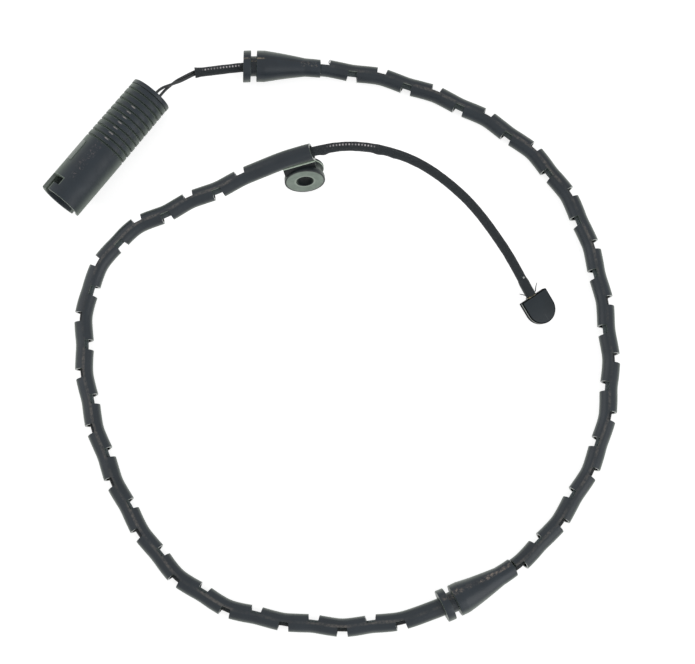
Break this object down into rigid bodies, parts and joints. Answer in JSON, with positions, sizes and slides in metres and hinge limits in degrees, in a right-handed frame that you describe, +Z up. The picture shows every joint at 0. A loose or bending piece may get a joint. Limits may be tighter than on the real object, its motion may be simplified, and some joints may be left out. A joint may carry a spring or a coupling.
{
  "type": "brake pad wear sensor",
  "caption": "Wear sensor lead for a brake pad: round bayonet connector, braided lead in notched rubber hoses with two grommets and a hanging bush, and a small flat tip.",
  "frame": {"origin": "on the floor under the middle of the loop as it lies, at the bottom centre of the box around everything but the wires and the sleeve", "axes": "+Z up; +Y towards the far side of the picture, where the upper hose starts; +X to the picture's right"},
  "size_m": [0.2877, 0.2966, 0.0292],
  "materials": {
    "shell_plastic": "black moulded plastic with a satin sheen",
    "carrier_plastic": "black moulded plastic",
    "seal_rubber": "soft reddish brown rubber",
    "cap_plastic": "black moulded plastic with a satin sheen",
    "contact_brass": "bright stamped brass",
    "wire_insulation": "smooth black insulation",
    "braid": "fine black braided yarn",
    "grommet_rubber": "black rubber with a slight sheen and a little dust",
    "hose_rubber": "black rubber hose with a satin sheen and dust along its top",
    "bush_rubber": "black rubber, its front face a little lighter",
    "collar_plastic": "thin black shrunk plastic",
    "tip_plastic": "dark moulded plastic",
    "loop_wire": "bare copper wire",
    "resin": "yellowish cured resin"
  },
  "bodies": {
    "root": {"connector_shell": "shell_plastic", "contact_carrier": "carrier_plastic", "mating_seal": "seal_rubber", "wire_seal": "seal_rubber", "rear_cap": "cap_plastic", "terminal_left": "contact_brass", "terminal_right": "contact_brass", "wire_left": "wire_insulation", "wire_right": "wire_insulation", "braided_sleeve": "braid", "grommet_upper": "grommet_rubber", "grommet_lower": "grommet_rubber", "conduit_upper": "hose_rubber", "conduit_lower": "hose_rubber", "mounting_bush": "bush_rubber", "end_collar": "collar_plastic", "sensor_tip": "tip_plastic", "wear_loop": "loop_wire", "tip_resin": "resin"}
  },
  "joints": []
}
